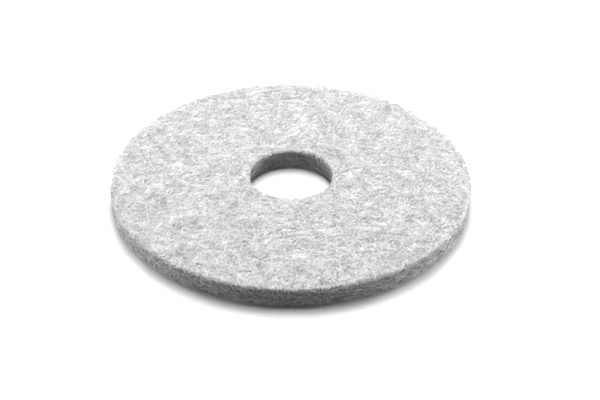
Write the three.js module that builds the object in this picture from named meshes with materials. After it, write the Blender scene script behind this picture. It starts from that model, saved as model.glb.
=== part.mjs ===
// A floor polishing pad: one thick disc of lofty non-woven polyester web, die cut round and
// with an open centre hole, lying flat.
// Millimetres, +Z up. The origin is on the pad's axis, level with the surface that it lies on.

import * as THREE from "three";
import { ImprovedNoise } from "three/addons/math/ImprovedNoise.js";
import { mergeVertices } from "three/addons/utils/BufferGeometryUtils.js";

// Driving dimensions
const OUTER_DIAMETER = 356;
const HOLE_DIAMETER = 83;
const THICKNESS = 23;

// The die leaves the upper edge and both edges of the hole crisp, pushes the lower outer edge
// round on its way through, and lets the cut walls spring back into a shallow hollow.
const CRISP_EDGE_RADIUS = 1.2;
const ROLLED_EDGE_RADIUS = 4;
const WALL_HOLLOW = 0.8;

// The web is uneven. Tufts stand level with the nominal surface, with sunken spots between
// them, and the matted fibres roughen all of it a little.
const TUFT_PITCH = 8;
const TUFT_DEPTH = 2;
const FIBRE_PITCH = 2.3;
const FIBRE_DEPTH = 0.5;

// How finely the web is faceted: the facets in one turn round the axis, and how far apart
// their corners lie up the walls and round the edges
const FACETS_PER_TURN = 120;
const WALL_SPACING = 5;
const EDGE_SPACING = 2.2;

const WEB_COLOUR = 0xe6e6e3;
const WEB_ROUGHNESS = 0.95;

const outerRadius = OUTER_DIAMETER / 2;
const holeRadius = HOLE_DIAMETER / 2;
const crispHeight = THICKNESS - CRISP_EDGE_RADIUS;

// A quarter of a circle round an edge, turning counterclockwise from the angle start.
function edgeRound(x, y, radius, start) {
  return new THREE.EllipseCurve(x, y, radius, radius, start, start + Math.PI / 2);
}

// A cut wall between two heights at one distance from the axis. It is hollow by the signed
// distance bend, and its control point lies twice as far in, where a quadratic curve needs it.
function cutWall(radius, bend, fromHeight, toHeight) {
  return new THREE.QuadraticBezierCurve(
    new THREE.Vector2(radius, fromHeight),
    new THREE.Vector2(radius + 2 * bend, (fromHeight + toHeight) / 2),
    new THREE.Vector2(radius, toHeight),
  );
}

// The corners of a stretch of the section at about the given spacing, without its last one,
// which is the first corner of the next stretch.
function cornersAlong(curve, spacing) {
  const steps = Math.max(1, Math.round(curve.getLength() / spacing));
  return curve.getPoints(steps).slice(0, -1);
}

// The corners across the polishing face, from the rim inwards, without the last one. Each
// ring of facets is as wide as its facets are long, so the rings narrow towards the hole.
function cornersAcross(fromRadius, toRadius) {
  const facetAngle = (2 * Math.PI) / FACETS_PER_TURN;
  const rings = Math.round(Math.log(fromRadius / toRadius) / facetAngle);
  const narrowing = (toRadius / fromRadius) ** (1 / rings);
  const ringNumbers = [...Array(rings).keys()];
  return ringNumbers.map((ring) => new THREE.Vector2(fromRadius * narrowing ** ring, THICKNESS));
}

// The closed cross-section, with x as the distance from the axis and y as the height: along
// the underside, up the rim, over the polishing face and down the wall of the hole.
function padSection() {
  const rolledCentre = outerRadius - ROLLED_EDGE_RADIUS;
  const rimCentre = outerRadius - CRISP_EDGE_RADIUS;
  const holeCentre = holeRadius + CRISP_EDGE_RADIUS;
  const rim = cutWall(outerRadius, -WALL_HOLLOW, ROLLED_EDGE_RADIUS, crispHeight);
  const holeWall = cutWall(holeRadius, WALL_HOLLOW, crispHeight, CRISP_EDGE_RADIUS);
  const rolledEdge = edgeRound(rolledCentre, ROLLED_EDGE_RADIUS, ROLLED_EDGE_RADIUS, -Math.PI / 2);
  const rimEdge = edgeRound(rimCentre, crispHeight, CRISP_EDGE_RADIUS, 0);
  const holeTopEdge = edgeRound(holeCentre, crispHeight, CRISP_EDGE_RADIUS, Math.PI / 2);
  const holeLowEdge = edgeRound(holeCentre, CRISP_EDGE_RADIUS, CRISP_EDGE_RADIUS, Math.PI);
  const corners = [
    new THREE.Vector2(holeCentre, 0),
    ...cornersAlong(rolledEdge, EDGE_SPACING),
    ...cornersAlong(rim, WALL_SPACING),
    ...cornersAlong(rimEdge, EDGE_SPACING),
    ...cornersAcross(rimCentre, holeCentre),
    ...cornersAlong(holeTopEdge, EDGE_SPACING),
    ...cornersAlong(holeWall, WALL_SPACING),
    ...cornersAlong(holeLowEdge, EDGE_SPACING),
  ];
  corners.push(corners[0].clone());
  return corners;
}

// The smooth disc: the section turned once round the axis, as one closed mesh with +Z up.
function smoothDisc() {
  const turned = new THREE.LatheGeometry(padSection(), FACETS_PER_TURN);
  turned.rotateX(Math.PI / 2);
  turned.deleteAttribute("normal");
  turned.deleteAttribute("uv");
  return mergeVertices(turned);
}

// How far the web's surface is sunk at a place on the disc.
function sunkenDepth(noise, place) {
  const tufts = place.clone().divideScalar(TUFT_PITCH);
  const fibres = place.clone().divideScalar(FIBRE_PITCH);
  const betweenTufts = Math.max(0, noise.noise(tufts.x, tufts.y, tufts.z));
  const betweenFibres = Math.max(0, noise.noise(fibres.x, fibres.y, fibres.z));
  return TUFT_DEPTH * betweenTufts + FIBRE_DEPTH * betweenFibres;
}

// Sinks the surface of a disc between its tufts and fibres. The pad's own weight presses its
// underside flat, so nothing within a fibre's depth of the ground is sunk.
function roughenWeb(disc) {
  const noise = new ImprovedNoise();
  disc.computeVertexNormals();
  const places = disc.getAttribute("position");
  const normals = disc.getAttribute("normal");
  for (let corner = 0; corner < places.count; corner += 1) {
    const place = new THREE.Vector3().fromBufferAttribute(places, corner);
    if (place.z > FIBRE_DEPTH) {
      const outward = new THREE.Vector3().fromBufferAttribute(normals, corner);
      place.addScaledVector(outward, -sunkenDepth(noise, place));
      places.setXYZ(corner, place.x, place.y, place.z);
    }
  }
  disc.computeVertexNormals();
  return disc;
}

const web = new THREE.MeshStandardMaterial({
  color: WEB_COLOUR,
  roughness: WEB_ROUGHNESS,
  metalness: 0,
});

const polishingPad = new THREE.Mesh(roughenWeb(smoothDisc()), web);
polishingPad.name = "polishing_pad";

const floorPad = new THREE.Group();
floorPad.add(polishingPad);

export default floorPad;
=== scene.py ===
"""A floor polishing pad: a thick disc of lofty non-woven web with an open centre hole.

The pad lies flat on a pale floor. Its core is one soft ring, and thousands of crimped fibres
are matted into its two faces and its two cut walls.
"""

from __future__ import annotations

import logging
import math
from dataclasses import dataclass, field
from enum import Enum
from typing import Any, Iterable, Sequence

import bmesh
import bpy
import numpy as np
from mathutils import Matrix, Vector, noise


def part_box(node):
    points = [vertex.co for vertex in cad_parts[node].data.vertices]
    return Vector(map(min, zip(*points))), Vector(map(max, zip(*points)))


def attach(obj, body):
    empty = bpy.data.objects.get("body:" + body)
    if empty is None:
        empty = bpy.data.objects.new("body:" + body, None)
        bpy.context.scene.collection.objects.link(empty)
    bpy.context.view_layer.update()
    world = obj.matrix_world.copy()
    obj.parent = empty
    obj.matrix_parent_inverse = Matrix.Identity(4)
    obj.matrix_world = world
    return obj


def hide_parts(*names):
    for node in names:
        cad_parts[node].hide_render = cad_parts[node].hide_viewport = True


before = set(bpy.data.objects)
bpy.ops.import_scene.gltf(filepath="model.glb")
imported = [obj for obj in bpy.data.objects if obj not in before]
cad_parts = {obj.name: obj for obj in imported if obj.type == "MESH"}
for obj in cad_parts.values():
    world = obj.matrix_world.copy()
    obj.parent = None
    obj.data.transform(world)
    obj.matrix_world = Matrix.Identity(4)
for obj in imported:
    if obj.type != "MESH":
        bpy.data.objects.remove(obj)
LOG = logging.getLogger("pad")

MM = 0.001
FULL_TURN = 2 * math.pi
FRAME_WIDTH = 600
FRAME_HEIGHT = 400

NODE = "polishing_pad"
FIBRE_SIDES = 3


class Value:
    """A shader socket that adds Math nodes when it is used in an expression."""

    def __init__(self, shader: Shader, socket: bpy.types.NodeSocket) -> None:
        """Wraps a socket.

        Args:
            shader: The shader that the socket belongs to.
            socket: The output socket to wrap.
        """
        self.shader = shader
        self.socket = socket

    def _math(self, operation: str, first: Any, second: Any) -> Value:
        """Adds one Math node.

        Args:
            operation: The node's operation.
            first: A value or a number.
            second: A value or a number.

        Returns:
            The node's output.
        """
        return self.shader.node("ShaderNodeMath", {"operation": operation}, {0: first, 1: second})

    def __add__(self, other: Any) -> Value:
        """Returns this value plus another."""
        return self._math("ADD", self, other)

    __radd__ = __add__

    def __mul__(self, other: Any) -> Value:
        """Returns this value times another."""
        return self._math("MULTIPLY", self, other)

    __rmul__ = __mul__

    def __sub__(self, other: Any) -> Value:
        """Returns this value less another."""
        return self._math("SUBTRACT", self, other)

    def __rsub__(self, other: Any) -> Value:
        """Returns another value less this one."""
        return self._math("SUBTRACT", other, self)

    def at_least(self, other: Any) -> Value:
        """Returns the larger of this value and another."""
        return self._math("MAXIMUM", self, other)


class Shader:
    """The nodes of one material or of the world."""

    def __init__(self, owner: bpy.types.Material | bpy.types.World) -> None:
        """Empties the owner's nodes.

        Args:
            owner: The material or world whose nodes are built.
        """
        owner.use_nodes = True
        self.tree = owner.node_tree
        self.tree.nodes.clear()

    def node(
        self,
        kind: str,
        settings: dict[str, Any] | None = None,
        inputs: dict[str | int, Any] | None = None,
        output: str | int = 0,
    ) -> Value:
        """Adds a node.

        Args:
            kind: The node's type.
            settings: The node's own properties, which are set first.
            inputs: A value, colour or link for each named or numbered socket.
            output: The output socket to hand back.

        Returns:
            The wrapped output socket.
        """
        made = self.tree.nodes.new(kind)
        for name, setting in (settings or {}).items():
            setattr(made, name, setting)
        for name, given in (inputs or {}).items():
            if isinstance(given, Value):
                self.tree.links.new(given.socket, made.inputs[name])
            else:
                made.inputs[name].default_value = given
        return Value(self, made.outputs[output])

    def position(self) -> Value:
        """Returns the place on the object, in metres."""
        return self.node("ShaderNodeTexCoord", output="Object")

    def attribute(self, name: str) -> Value:
        """Returns a number that the mesh stores for each point."""
        return self.node("ShaderNodeAttribute", {"attribute_name": name}, output="Fac")

    def noise(self, place: Value, pitch: float, detail: float = 2.0, rough: float = 0.5) -> Value:
        """Adds a noise.

        Args:
            place: The coordinates that the noise reads.
            pitch: The size of its features, in metres.
            detail: How many finer octaves are added.
            rough: How strong the finer octaves are.

        Returns:
            A number from 0 to 1.
        """
        inputs = {"Vector": place, "Scale": 1 / pitch, "Detail": detail, "Roughness": rough}
        return self.node("ShaderNodeTexNoise", {"noise_dimensions": "3D"}, inputs)

    def remap(self, given: Value, low: float, high: float, start: float, end: float) -> Value:
        """Maps one range onto another, and holds the result in it.

        Args:
            given: The value to map.
            low: The input that gives start.
            high: The input that gives end.
            start: The result at low.
            end: The result at high.

        Returns:
            The mapped value.
        """
        inputs = {"Value": given, "From Min": low, "From Max": high, "To Min": start, "To Max": end}
        return self.node("ShaderNodeMapRange", {"clamp": True}, inputs)

    def mix_colour(self, share: Value, first: Any, second: Any) -> Value:
        """Mixes two colours.

        Args:
            share: How much of the second there is, from 0 to 1.
            first: A colour or a link.
            second: A colour or a link.

        Returns:
            The mixed colour.
        """
        inputs = {"Factor": share, 6: first, 7: second}
        return self.node("ShaderNodeMix", {"data_type": "RGBA"}, inputs, output=2)

    def surface(self, shader: Value) -> None:
        """Links a shader to the material's surface."""
        self.node_output("ShaderNodeOutputMaterial", shader)

    def node_output(self, kind: str, shader: Value) -> None:
        """Links a shader to an output node.

        Args:
            kind: The output node's type.
            shader: The shader to show.
        """
        made = self.tree.nodes.new(kind)
        self.tree.links.new(shader.socket, made.inputs["Surface"])


def grey(level: float, warmth: float = 0.0) -> tuple[float, float, float, float]:
    """Gives a grey with a slight tint.

    Args:
        level: The grey's linear level.
        warmth: How far red rises and blue falls, as a share of the level.

    Returns:
        The colour with full alpha.
    """
    return (level * (1 + warmth), level, level * (1 - warmth), 1.0)


@dataclass(frozen=True)
class CoreFinish:
    """The matted web between the surface's fibres, with painted shade in its pits and walls."""

    name: str = "web_core"
    raised: float = 0.82
    # Painted shade: the grey that the core's pits darken to.
    painted_pit_shade: float = 0.22
    # Painted shade: the walls' grey, darker than the face's, though the web is one white.
    wall: float = 0.36
    warmth: float = 0.004
    roughness: float = 0.95
    mottle_pitch: float = 11 * MM
    mottle_weight: float = 0.4
    strand_pitch: float = 1.3 * MM
    strand_height: float = 0.5 * MM
    strand_weight: float = 0.5
    bump_strength: float = 0.9
    sunken_weight: float = 0.7
    shade_start: float = 0.3
    wall_pale: float = 1.25
    wall_dull: float = 0.7

    def material(self) -> bpy.types.Material:
        """Returns the finish as a material, painting shade from the core's depth and wall numbers.
        """
        made = bpy.data.materials.new(self.name)
        shader = Shader(made)
        place = shader.position()
        strands = shader.noise(place, self.strand_pitch, detail=3.0, rough=0.6)
        mottle = shader.noise(place, self.mottle_pitch)
        # Painted shade: darker where the core lies deeper and where the strands' bump is low; the
        # mottle varies it at random.
        depth = shader.attribute("painted_pit_shade") * self.sunken_weight
        depth += (1 - strands) * self.strand_weight
        depth += (mottle - 0.5) * self.mottle_weight
        share = shader.remap(depth, self.shade_start, 1.0, 0.0, 1.0)
        face = shader.mix_colour(share, grey(self.raised, self.warmth), grey(self.painted_pit_shade))
        # Painted shade: the walls take darker greys than the upper face.
        pale, dull = grey(self.wall * self.wall_pale), grey(self.wall * self.wall_dull)
        cut = shader.mix_colour(share, pale, dull)
        colour = shader.mix_colour(shader.attribute("wall"), face, cut)
        relief = {
            "Height": strands,
            "Strength": self.bump_strength,
            "Distance": self.strand_height,
        }
        bump = shader.node("ShaderNodeBump", {}, relief)
        inputs = {"Base Color": colour, "Roughness": self.roughness, "Normal": bump}
        shader.surface(shader.node("ShaderNodeBsdfPrincipled", {}, inputs))
        return made


@dataclass(frozen=True)
class FibreFinish:
    """Crimped polyester fibre with its dried binder."""

    name: str
    pale: float
    dull: float
    warmth: float = 0.004
    roughness: float = 0.62
    rough_spread: float = 0.1
    binder_pitch: float = 2.4 * MM
    binder_weight: float = 2.4
    mottle_pitch: float = 15 * MM
    mottle_weight: float = 0.5

    def material(self) -> bpy.types.Material:
        """Returns the finish as a material, which reads each fibre's tone."""
        made = bpy.data.materials.new(self.name)
        shader = Shader(made)
        binder = shader.noise(shader.position(), self.binder_pitch, rough=0.6)
        mottle = shader.noise(shader.position(), self.mottle_pitch, detail=1.0)
        uneven = (binder - 0.5) * self.binder_weight + (mottle - 0.5) * self.mottle_weight
        share = shader.remap(shader.attribute("tone") + uneven, 0.0, 1.0, 0.0, 1.0)
        colour = shader.mix_colour(share, grey(self.pale, self.warmth), grey(self.dull))
        smoothest = self.roughness - self.rough_spread
        roughest = self.roughness + self.rough_spread
        rough = shader.remap(binder, 0.3, 0.7, smoothest, roughest)
        inputs = {"Base Color": colour, "Roughness": rough}
        shader.surface(shader.node("ShaderNodeBsdfPrincipled", {}, inputs))
        return made


def within_one(number: float) -> float:
    """Returns the number held between 0 and 1."""
    return min(max(number, 0.0), 1.0)


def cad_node(name: str) -> bpy.types.Object:
    """Returns the frame's object of a node."""
    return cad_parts[name]


@dataclass(frozen=True)
class PadShape:
    """The pad's sizes in metres, and the unevenness that its core and fibres share."""

    outer_radius: float
    hole_radius: float
    thickness: float
    edge_radius: float = 0.9 * MM
    rolled_radius: float = 2.5 * MM
    front_roll: float = 3.5 * MM
    crown_width: float = 4 * MM
    crown_drop: float = 0.3 * MM
    tuft_pitch: float = 9 * MM
    tuft_depth: float = 0.6 * MM
    tuft_level: float = 0.35
    swell_pitch: float = 24 * MM
    swell_depth: float = 0.3 * MM
    swell_level: float = 0.5

    @classmethod
    def from_frame(cls, node: str) -> PadShape:
        """Measures the pad in the frame.

        Args:
            node: The name of the pad's solid.

        Returns:
            The pad's shape.
        """
        low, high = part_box(node)
        places = vectors(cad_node(node).data.vertices, "co")
        hole_radius = float(np.hypot(places[:, 0], places[:, 1]).min())
        return cls((high.x - low.x) / 2, hole_radius, high.z)

    def tuft_sink(self, place: Sequence[float]) -> float:
        """Gives how far the web is sunk between its tufts.

        Args:
            place: A point of the pad, in metres.

        Returns:
            The depth in metres, from 0 at the top of a tuft.
        """
        tuft = self.tuft_level + noise.noise(Vector(place) / self.tuft_pitch)
        swell = self.swell_level + noise.noise(Vector(place) / self.swell_pitch)
        return self.tuft_depth * within_one(tuft) + self.swell_depth * within_one(swell)

    def edge_sink(self, distance: float, radius: float) -> float:
        """Gives how far a side drops where it rounds over to the next one.

        Args:
            distance: How far from the next side the point is, in metres.
            radius: The radius of the rounded edge, in metres.

        Returns:
            The drop in metres.
        """
        inwards = min(max(distance, 0.0), radius)
        return radius - math.sqrt(inwards * (2 * radius - inwards))

    def rolled_under(self, place: Sequence[float]) -> Vector:
        """Moves a point near the lower outer edge onto the rolled edge.

        The roll is largest at the front of the pad.

        Args:
            place: A point of the pad with a square lower edge, in metres.

        Returns:
            The point on the rounded pad.
        """
        radius = math.hypot(place[0], place[1])
        front = within_one(-place[1] / radius)
        roll = self.rolled_radius + self.front_roll * front**2
        outwards = radius - (self.outer_radius - roll)
        downwards = roll - place[2]
        if outwards <= 0 or downwards <= 0:
            return Vector(place)
        squeeze = max(outwards, downwards) / math.hypot(outwards, downwards)
        share = (self.outer_radius - roll + outwards * squeeze) / radius
        return Vector((place[0] * share, place[1] * share, roll - downwards * squeeze))

    def crown_sink(self, distance: float) -> float:
        """Gives how far the upper face falls away near its edges.

        Args:
            distance: How far from the nearest edge the point is, in metres.

        Returns:
            The drop in metres.
        """
        return self.crown_drop * within_one(1 - distance / self.crown_width) ** 2


class Side(Enum):
    """The four sides of the ring that fibres are matted into."""

    UPPER_FACE = "upper_face"
    UNDERSIDE = "underside"
    RIM = "rim"
    HOLE = "hole"


@dataclass
class WebCore:
    """The soft ring under the fibres."""

    shape: PadShape
    name: str = "pad_body"
    face_inset: float = 1.5 * MM
    wall_inset: float = 1.0 * MM
    foot_inset: float = 0.5 * MM
    voxel: float = 2.0 * MM
    strand_pitch: float = 2.6 * MM
    strand_depth: float = 0.9 * MM
    strand_level: float = 0.5
    foot_press: float = 0.6
    face_gain: float = 1.3
    facets_per_turn: int = 180
    merge_distance: float = 0.01 * MM
    finish: CoreFinish = field(default_factory=CoreFinish)

    def build(self) -> bpy.types.Object:
        """Returns the finished core."""
        ring = self._remeshed(self._turned_ring())
        self._roughen(ring.data)
        ring.data.materials.append(self.finish.material())
        ring.data.shade_smooth()
        return ring

    def _turned_ring(self) -> bpy.types.Mesh:
        """Returns the plain ring, turned from its four-cornered section."""
        low = self.foot_inset
        high = self.shape.thickness - self.face_inset
        inner = self.shape.hole_radius + self.wall_inset
        outer = self.shape.outer_radius - self.wall_inset
        section = bmesh.new()
        corners = [(inner, low), (outer, low), (outer, high), (inner, high)]
        made = [section.verts.new((radius, 0.0, height)) for radius, height in corners]
        loop = [section.edges.new(ends) for ends in zip(made, made[1:] + made[:1])]
        bmesh.ops.spin(
            section,
            geom=made + loop,
            cent=(0, 0, 0),
            axis=(0, 0, 1),
            angle=FULL_TURN,
            steps=self.facets_per_turn,
            use_merge=True,
        )
        bmesh.ops.remove_doubles(section, verts=section.verts, dist=self.merge_distance)
        bmesh.ops.recalc_face_normals(section, faces=section.faces)
        mesh = bpy.data.meshes.new(self.name)
        section.to_mesh(mesh)
        section.free()
        return mesh

    def _remeshed(self, mesh: bpy.types.Mesh) -> bpy.types.Object:
        """Gives the ring even facets and soft edges.

        Args:
            mesh: The plain ring.

        Returns:
            The ring as an object with one modifier applied.
        """
        ring = bpy.data.objects.new(self.name, mesh)
        bpy.context.scene.collection.objects.link(ring)
        even = ring.modifiers.new("even", "REMESH")
        even.mode = "VOXEL"
        even.voxel_size = self.voxel
        even.use_smooth_shade = True
        return applied(ring)

    def _roughen(self, mesh: bpy.types.Mesh) -> None:
        """Sinks the web between its tufts and strands, and stores how far.

        Args:
            mesh: The evenly faceted ring, whose points are moved.
        """
        painted_pit_shade, wall, places = [], [], []
        rows = zip(vectors(mesh.vertices, "co"), vectors(mesh.vertices, "normal"))
        for place, outward in rows:
            strands = self.strand_level + noise.noise(Vector(place) / self.strand_pitch)
            sink = self.shape.tuft_sink(place) + self.strand_depth * within_one(strands)
            on_foot = max(0.0, -outward[2])
            on_face = max(0.0, outward[2])
            radius = math.hypot(place[0], place[1])
            edge = min(self.shape.outer_radius - radius, radius - self.shape.hole_radius)
            place = place - outward * sink * (1 - self.foot_press * on_foot)
            place[2] -= self.shape.crown_sink(edge) * on_face
            place[2] = max(place[2], self.foot_inset)
            places.append(np.array(self.shape.rolled_under(place)))
            # The depth share and the wall share set where the core's colour paints shade.
            painted_pit_shade.append(sink / (self.shape.tuft_depth + self.strand_depth))
            wall.append(1.0 - min(1.0, abs(outward[2]) * self.face_gain))
        mesh.vertices.foreach_set("co", np.concatenate(places))
        store(mesh, "painted_pit_shade", painted_pit_shade)
        store(mesh, "wall", wall)
        mesh.update()


def vectors(items: Any, name: str) -> np.ndarray:
    """Reads one vector of each item.

    Args:
        items: A mesh's vertices.
        name: The vector to read, such as co or normal.

    Returns:
        One row of three numbers for each item.
    """
    flat = np.empty(3 * len(items))
    items.foreach_get(name, flat)
    return flat.reshape(-1, 3)


def store(mesh: bpy.types.Mesh, name: str, numbers: Iterable[float]) -> None:
    """Stores a number for each point of a mesh.

    Args:
        mesh: The mesh.
        name: The attribute's name, which its material reads.
        numbers: One number for each point.
    """
    layer = mesh.attributes.new(name, "FLOAT", "POINT")
    layer.data.foreach_set("value", np.asarray(list(numbers), np.float32))


def applied(piece: bpy.types.Object) -> bpy.types.Object:
    """Makes what a piece evaluates to its plain mesh.

    Args:
        piece: A mesh with modifiers, or a curve.

    Returns:
        A mesh object of the same name, in the scene.
    """
    bpy.context.view_layer.update()
    evaluated = piece.evaluated_get(bpy.context.evaluated_depsgraph_get())
    mesh = bpy.data.meshes.new_from_object(evaluated)
    name, old = piece.name, piece.data
    bpy.data.objects.remove(piece)
    if isinstance(old, bpy.types.Mesh):
        bpy.data.meshes.remove(old)
    else:
        bpy.data.curves.remove(old)
    mesh.name = name
    made = bpy.data.objects.new(name, mesh)
    bpy.context.scene.collection.objects.link(made)
    return made


@dataclass
class FibreMat:
    """One piece of crimped fibres that are matted into one side of the pad."""

    name: str
    finish: FibreFinish
    thickness: float
    shallow: float
    deep: float
    seed: int
    side: Side
    shape: PadShape
    count: int
    step: float
    steps: int
    step_spread: float = 0.25
    curl: float = 0.30
    crimp: float = 0.45
    wave_length: float = 9 * MM
    wave_height: float = 0.55 * MM
    tuck: float = 0.9 * MM
    tuck_power: int = 3
    fray: float = 0.5 * MM
    lie_flat: float = 1.0
    widest: float = 1.25
    reach: float = 0.6
    least_stub: float = 0.25
    foot_gap: float = 0.4 * MM
    wall_tufts: float = 0.4
    thin_pitch: float = 3.5 * MM
    clumping: float = 1.0
    kept_share: float = 0.8
    pale_power: int = 2

    def build(self) -> bpy.types.Object:
        """Returns the fibres as one mesh of closed tubes."""
        rng = np.random.default_rng(self.seed)
        lines = [line for line in self._lines(rng) if len(line) > 1]
        tones = rng.uniform(0.0, 1.0, len(lines)) ** self.pale_power
        widths = rng.uniform(2 - self.widest, self.widest, len(lines))
        piece = self._tubes(lines, widths)
        # A tube has a ring of corners at each point, and its two caps have rings of their own.
        tube_corners = [FIBRE_SIDES * (len(line) + 2) for line in lines]
        store(piece.data, "tone", np.repeat(tones, tube_corners))
        piece.data.materials.append(self.finish.material())
        piece.data.shade_smooth()
        return piece

    def _middles(self, rng: np.random.Generator) -> tuple[np.ndarray, np.ndarray]:
        """Draws where the middles of the fibres lie, also a little beyond the side's edges.

        Args:
            rng: The source of the random draws.

        Returns:
            Their two coordinates on the side.
        """
        shape = self.shape
        turns = rng.uniform(0, FULL_TURN, self.count)
        reach = self.reach * self.step * self.steps / 2
        if self.side in (Side.UPPER_FACE, Side.UNDERSIDE):
            low, high = shape.hole_radius - reach, shape.outer_radius + reach
            radius = np.sqrt(rng.uniform(low**2, high**2, self.count))
            return radius * np.cos(turns), radius * np.sin(turns)
        nominal = shape.outer_radius if self.side is Side.RIM else shape.hole_radius
        reach = reach * self.lie_flat
        return turns * nominal, rng.uniform(-reach, shape.thickness + reach, self.count)

    def _room(self, u: np.ndarray, v: np.ndarray) -> np.ndarray:
        """Gives how far inside the side's outline points lie.

        Args:
            u: Their first coordinate on the side.
            v: Their second coordinate on the side.

        Returns:
            The distance to the nearest edge, negative outside.
        """
        shape = self.shape
        if self.side in (Side.UPPER_FACE, Side.UNDERSIDE):
            radius = np.hypot(u, v)
            return np.minimum(shape.outer_radius - radius, radius - shape.hole_radius)
        return np.minimum(v - self.foot_gap, shape.thickness - shape.crown_drop - v)

    def _place(self, u: float, v: float, depth: float) -> Vector:
        """Gives the place of a fibre's point.

        Args:
            u: Its first coordinate on the side.
            v: Its second coordinate on the side.
            depth: How deep it lies in the web.

        Returns:
            The point in the row frame.
        """
        shape = self.shape
        lowest = self.thickness * self.widest / 2
        if self.side in (Side.UPPER_FACE, Side.UNDERSIDE):
            radius = math.hypot(u, v)
            from_rim, from_hole = shape.outer_radius - radius, radius - shape.hole_radius
            edge = min(from_rim, from_hole)
            if self.side is Side.UPPER_FACE:
                sink = shape.tuft_sink((u, v, shape.thickness)) + shape.crown_sink(edge)
                sink += depth + shape.edge_sink(edge, shape.edge_radius)
                return Vector((u, v, shape.thickness - sink))
            sink = depth + shape.edge_sink(from_hole, shape.edge_radius)
            return shape.rolled_under((u, v, max(sink, lowest)))
        outwards = 1 if self.side is Side.RIM else -1
        nominal = shape.outer_radius if self.side is Side.RIM else shape.hole_radius
        angle = u / nominal
        around = (nominal * math.cos(angle), nominal * math.sin(angle), v)
        sink = depth + self.wall_tufts * shape.tuft_sink(around)
        sink += shape.edge_sink(shape.thickness - shape.crown_drop - v, shape.edge_radius)
        if self.side is Side.HOLE:
            sink += shape.edge_sink(v, shape.edge_radius)
        radius = nominal - outwards * sink
        place = (radius * math.cos(angle), radius * math.sin(angle), max(v, lowest))
        return shape.rolled_under(place)

    def _lines(self, rng: np.random.Generator) -> Iterable[list[Vector]]:
        """Draws the fibres' centre lines.

        Args:
            rng: The source of the random draws.

        Yields:
            The points of each fibre.
        """
        points = self.steps + 1
        middle_u, middle_v = self._middles(rng)
        heading = rng.uniform(0, FULL_TURN, self.count)
        curl = rng.normal(0, self.curl, self.count)
        bends = curl[:, None] + rng.normal(0, self.crimp, (self.count, self.steps))
        headings = heading[:, None] + np.cumsum(bends, axis=1)
        spread = rng.uniform(
            1 - self.step_spread, 1 + self.step_spread, (self.count, self.steps)
        )
        lengths = self.step * spread
        move_u = np.cumsum(lengths * np.cos(headings), axis=1)
        move_v = np.cumsum(lengths * np.sin(headings) * self.lie_flat, axis=1)
        u = centred(move_u) + middle_u[:, None]
        v = centred(move_v) + middle_v[:, None]
        level = rng.uniform(self.shallow, self.deep, self.count)[:, None]
        phase = rng.uniform(0, FULL_TURN, self.count)[:, None]
        along = np.pad(np.cumsum(lengths, axis=1), ((0, 0), (1, 0)))
        wave = self.wave_height * np.sin(FULL_TURN * along / self.wave_length + phase)
        from_middle = np.abs(np.linspace(-1, 1, points)) ** self.tuck_power
        depth = level + wave + self.tuck * from_middle
        depth = np.maximum(depth, self.shallow)
        room = self._room(u, v) + self.fray * rng.uniform(0, 1, self.count)[:, None]
        chance = rng.uniform(0, 1, self.count)
        for fibre in range(self.count):
            middle = Vector((middle_u[fibre], middle_v[fibre], self.seed * self.thin_pitch))
            share = self.kept_share + self.clumping * noise.noise(middle / self.thin_pitch)
            if chance[fibre] < share:
                yield self._cut(u[fibre], v[fibre], depth[fibre], room[fibre])

    def _cut(
        self, u: np.ndarray, v: np.ndarray, depth: np.ndarray, room: np.ndarray
    ) -> list[Vector]:
        """Cuts a fibre off where it leaves its side.

        Args:
            u: Its points' first coordinates.
            v: Its points' second coordinates.
            depth: Its points' depths.
            room: How far inside its points lie, negative outside.

        Returns:
            The points of its first stretch inside.
        """
        inside = np.flatnonzero(room > 0)
        if not len(inside):
            return []
        first = inside[0]
        outside_after = np.flatnonzero(room[first:] <= 0)
        last = first + outside_after[0] - 1 if len(outside_after) else len(room) - 1
        kept = [(u[i], v[i], depth[i]) for i in range(first, last + 1)]
        values = np.stack([u, v, depth], axis=1)
        if first > 0:
            share = room[first] / (room[first] - room[first - 1])
            if share > self.least_stub:
                stub = values[first] + share * (values[first - 1] - values[first])
                kept.insert(0, tuple(stub))
        if last < len(room) - 1:
            share = room[last] / (room[last] - room[last + 1])
            if share > self.least_stub:
                stub = values[last] + share * (values[last + 1] - values[last])
                kept.append(tuple(stub))
        return [self._place(*point) for point in kept]

    def _tubes(self, lines: Sequence[Sequence[Vector]], widths: np.ndarray) -> bpy.types.Object:
        """Gives the fibres their thickness.

        Args:
            lines: The fibres' centre lines.
            widths: Each fibre's thickness as a share of the usual one.

        Returns:
            One mesh object with a closed tube for each fibre.
        """
        curve = bpy.data.curves.new(self.name, "CURVE")
        curve.dimensions = "3D"
        curve.fill_mode = "FULL"
        curve.use_fill_caps = True
        section = fibre_section(self.thickness / 2)
        curve.bevel_mode = "OBJECT"
        curve.bevel_object = section
        for line, width in zip(lines, widths):
            spline = curve.splines.new("POLY")
            spline.points.add(len(line) - 1)
            places = [coordinate for point in line for coordinate in (*point, 1.0)]
            spline.points.foreach_set("co", places)
            spline.points.foreach_set("radius", [width] * len(line))
        piece = bpy.data.objects.new(self.name, curve)
        bpy.context.scene.collection.objects.link(piece)
        made = applied(piece)
        section_curve = section.data
        bpy.data.objects.remove(section)
        bpy.data.curves.remove(section_curve)
        return made


def centred(moves: np.ndarray) -> np.ndarray:
    """Gives the points of paths that have their middle points at 0.

    Args:
        moves: For each path, how far each of its later points lies from its first one.

    Returns:
        Every point of each path.
    """
    points = np.pad(moves, ((0, 0), (1, 0)))
    return points - points[:, points.shape[1] // 2, None]


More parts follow.
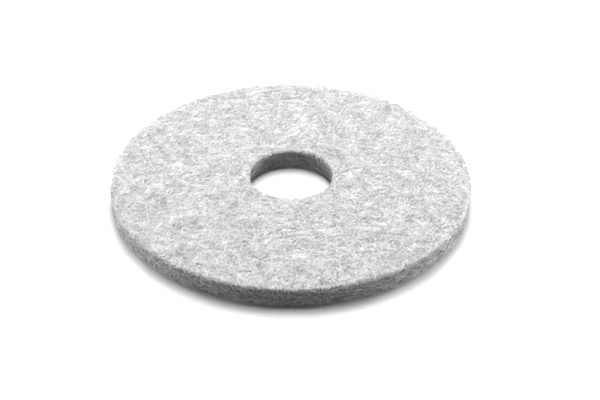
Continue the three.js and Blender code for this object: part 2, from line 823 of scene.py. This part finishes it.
def fibre_section(radius: float) -> bpy.types.Object:
    """Draws a fibre's cross-section.

    Args:
        radius: The distance from its middle to each corner, in metres.

    Returns:
        A closed curve with one point for each side of a fibre.
    """
    curve = bpy.data.curves.new("fibre_section", "CURVE")
    curve.dimensions = "2D"
    spline = curve.splines.new("POLY")
    spline.points.add(FIBRE_SIDES - 1)
    for corner, point in enumerate(spline.points):
        angle = FULL_TURN * corner / FIBRE_SIDES
        point.co = (radius * math.cos(angle), radius * math.sin(angle), 0.0, 1.0)
    spline.use_cyclic_u = True
    made = bpy.data.objects.new("fibre_section", curve)
    bpy.context.scene.collection.objects.link(made)
    return made


@dataclass(frozen=True)
class Softbox:
    """A soft studio light that faces the pad."""

    name: str
    azimuth: float
    elevation: float
    size: float
    power: float
    distance: float = 1.6

    def build(self, target: Vector) -> bpy.types.Object:
        """Hangs the light.

        Args:
            target: The point that it faces.

        Returns:
            The light's object.
        """
        lamp = bpy.data.lights.new(self.name, "AREA")
        lamp.shape = "DISK"
        lamp.size = self.size
        lamp.energy = self.power
        turn = math.radians(self.azimuth)
        rise = math.radians(self.elevation)
        towards = Vector(
            (
                math.sin(turn) * math.cos(rise),
                -math.cos(turn) * math.cos(rise),
                math.sin(rise),
            )
        )
        made = bpy.data.objects.new(self.name, lamp)
        made.location = target + towards * self.distance
        made.rotation_euler = towards.to_track_quat("Z", "Y").to_euler()
        bpy.context.scene.collection.objects.link(made)
        return made


@dataclass
class Studio:
    """The pale floor, the soft lights and the camera."""

    shape: PadShape
    floor_reach: float = 6.0
    floor_shade: float = 0.36
    floor_gain: float = 0.9
    near_reach: float = 0.3
    far_reach: float = 0.6
    sky: float = 0.01
    focal_pixels: float = 1150.0
    distance: float = 1.143
    elevation: float = 34.45
    roll: float = -0.3
    pad_centre_x: float = 291.1
    pad_centre_y: float = 174.6
    web_sink: float = 1.9 * MM
    sensor: float = 36.0
    lights: Sequence[Softbox] = (
        Softbox("front", 0.0, 40.0, 1.2, 1.3),
        Softbox("back", 180.0, 62.0, 0.9, 19.5),
        Softbox("overhead", 180.0, 82.0, 1.0, 17.0),
        Softbox("left", -92.0, 7.0, 0.6, 16.0),
        Softbox("right", 92.0, 7.0, 0.6, 19.5),
        Softbox("back_left", -118.0, 9.0, 0.6, 14.0),
        Softbox("back_right", 118.0, 9.0, 0.6, 19.0),
    )

    def build(self) -> None:
        """Sets the whole studio up round the pad."""
        self._floor()
        self._world()
        middle = Vector((0.0, 0.0, self.shape.thickness - self.web_sink))
        for light in self.lights:
            light.build(middle)
        self._camera(middle)
        bpy.context.scene.view_settings.view_transform = "Standard"

    def _floor(self) -> None:
        """Lays the floor, which the camera sees as white outside the pad's shadow."""
        plane = bmesh.new()
        bmesh.ops.create_grid(plane, x_segments=1, y_segments=1, size=self.floor_reach)
        mesh = bpy.data.meshes.new("floor")
        plane.to_mesh(mesh)
        plane.free()
        floor = bpy.data.objects.new("floor", mesh)
        bpy.context.scene.collection.objects.link(floor)
        material = bpy.data.materials.new("floor_paint")
        shader = Shader(material)
        seen = self._seen(shader)
        dull = shader.node("ShaderNodeBsdfDiffuse", {}, {"Color": grey(self.floor_shade)})
        near = shader.node("ShaderNodeBsdfDiffuse", {}, {"Color": grey(self.floor_gain)})
        far = shader.node("ShaderNodeEmission", {}, {"Color": grey(1.0), "Strength": 1.0})
        from_axis = shader.node(
            "ShaderNodeVectorMath", {"operation": "LENGTH"}, {0: shader.position()}, "Value"
        )
        share = shader.remap(from_axis, self.near_reach, self.far_reach, 0.0, 1.0)
        white = shader.node("ShaderNodeMixShader", {}, {"Fac": share, 1: near, 2: far})
        shader.surface(shader.node("ShaderNodeMixShader", {}, {"Fac": seen, 1: dull, 2: white}))
        mesh.materials.append(material)

    def _seen(self, shader: Shader) -> Value:
        """Returns 1 for what the camera sees, straight or by way of gloss or glass."""
        seen = shader.node("ShaderNodeLightPath", output="Is Camera Ray")
        glossy = shader.node("ShaderNodeLightPath", output="Is Glossy Ray")
        through = shader.node("ShaderNodeLightPath", output="Is Transmission Ray")
        return seen.at_least(glossy).at_least(through)

    def _world(self) -> None:
        """Fills the studio with a dim even light, and shows white behind the floor."""
        world = bpy.data.worlds.new("studio")
        bpy.context.scene.world = world
        shader = Shader(world)
        seen = self._seen(shader)
        dim = shader.node("ShaderNodeBackground", {}, {"Color": grey(1.0), "Strength": self.sky})
        white = shader.node("ShaderNodeBackground", {}, {"Color": grey(1.0), "Strength": 1.0})
        mixed = shader.node("ShaderNodeMixShader", {}, {"Fac": seen, 1: dim, 2: white})
        shader.node_output("ShaderNodeOutputWorld", mixed)

    def _camera(self, middle: Vector) -> None:
        """Places the camera as the photograph was taken.

        Args:
            middle: The centre of the pad's upper face.
        """
        lens = bpy.data.cameras.new("camera")
        lens.sensor_width = self.sensor
        lens.lens = self.focal_pixels / FRAME_WIDTH * self.sensor
        rise = math.radians(self.elevation)
        back = Vector((0.0, -math.cos(rise), math.sin(rise)))
        across = (self.pad_centre_x - FRAME_WIDTH / 2) / self.focal_pixels
        up = (FRAME_HEIGHT / 2 - self.pad_centre_y) / self.focal_pixels
        facing = Matrix.Rotation(math.pi / 2 - rise, 4, "X")
        pitch = Matrix.Rotation(-math.atan(up), 4, "X")
        yaw = Matrix.Rotation(math.atan2(across, math.hypot(1.0, up)), 4, "Y")
        tilt = Matrix.Rotation(-math.radians(self.roll), 4, "Z")
        camera = bpy.data.objects.new("camera", lens)
        place = Matrix.Translation(middle + back * self.distance)
        camera.matrix_world = place @ facing @ pitch @ yaw @ tilt
        bpy.context.scene.collection.objects.link(camera)
        bpy.context.scene.camera = camera


@dataclass
class PolishingPad:
    """The whole pad: its core and the fibres matted into every side."""

    shape: PadShape
    slot: str = "web"

    def build(self) -> None:
        """Builds the core and the fibres, and ties them to the frame."""
        core = WebCore(self.shape).build()
        self._tie(core)
        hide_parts(NODE)
        for mat in self._mats():
            self._tie(mat.build())

    def _tie(self, piece: bpy.types.Object) -> None:
        """Makes a piece ride on the pad's body.

        Args:
            piece: The piece to tie.
        """
        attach(piece, "root")
        piece.data.calc_loop_triangles()
        LOG.info("%s: %d triangles", piece.name, len(piece.data.loop_triangles))

    def _mats(self) -> list[FibreMat]:
        """Returns the mats of fibre, those of the upper face from the lowest to the top."""
        # Painted shade: one white fibre gets darker greys in the lower layers and on the underside,
        # darker still on the rim and darkest in the hole.
        pale = FibreFinish("fibre_pale", 0.96, 0.60)
        middle = FibreFinish("fibre_middle_painted_shade", 0.95, 0.54)
        inner = FibreFinish("fibre_inner_painted_shade", 0.90, 0.45)
        # Painted shade: the rim's fibres are darker than the face's.
        cut = FibreFinish("fibre_rim_painted_shade", 0.94, 0.34)
        shaded = FibreFinish("fibre_shaded", 0.78, 0.28)
        web = {"shape": self.shape, "step": 2.8 * MM, "steps": 4}
        face = {**web, "side": Side.UPPER_FACE, "count": 7500}
        foot = {**web, "side": Side.UNDERSIDE, "count": 5000}
        wall = {"shape": self.shape, "step": 2.6 * MM, "steps": 6, "lie_flat": 0.6}
        rim = {**wall, "side": Side.RIM, "count": 4200}
        hole = {**wall, "side": Side.HOLE, "count": 900}
        return [
            FibreMat("face_fibres_lowest", inner, 0.44 * MM, 1.5 * MM, 2.4 * MM, 11, **face),
            FibreMat("face_fibres_low", middle, 0.40 * MM, 1.0 * MM, 1.9 * MM, 12, **face),
            FibreMat("face_fibres_high", middle, 0.38 * MM, 0.5 * MM, 1.3 * MM, 13, **face),
            FibreMat("face_fibres_top", pale, 0.36 * MM, 0.0 * MM, 0.8 * MM, 14, **face),
            FibreMat("foot_fibres", middle, 0.46 * MM, 0.2 * MM, 0.8 * MM, 15, **foot),
            FibreMat("rim_fibres", cut, 0.38 * MM, -0.5 * MM, 1.0 * MM, 16, **rim),
            FibreMat("hole_fibres", shaded, 0.38 * MM, 0.1 * MM, 1.3 * MM, 17, **hole),
        ]


def main() -> None:
    """Builds the pad in its studio."""
    logging.basicConfig(level=logging.INFO, format="%(name)s %(message)s")
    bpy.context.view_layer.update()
    shape = PadShape.from_frame(NODE)
    PolishingPad(shape).build()
    Studio(shape).build()


if __name__ == "__main__":
    main()
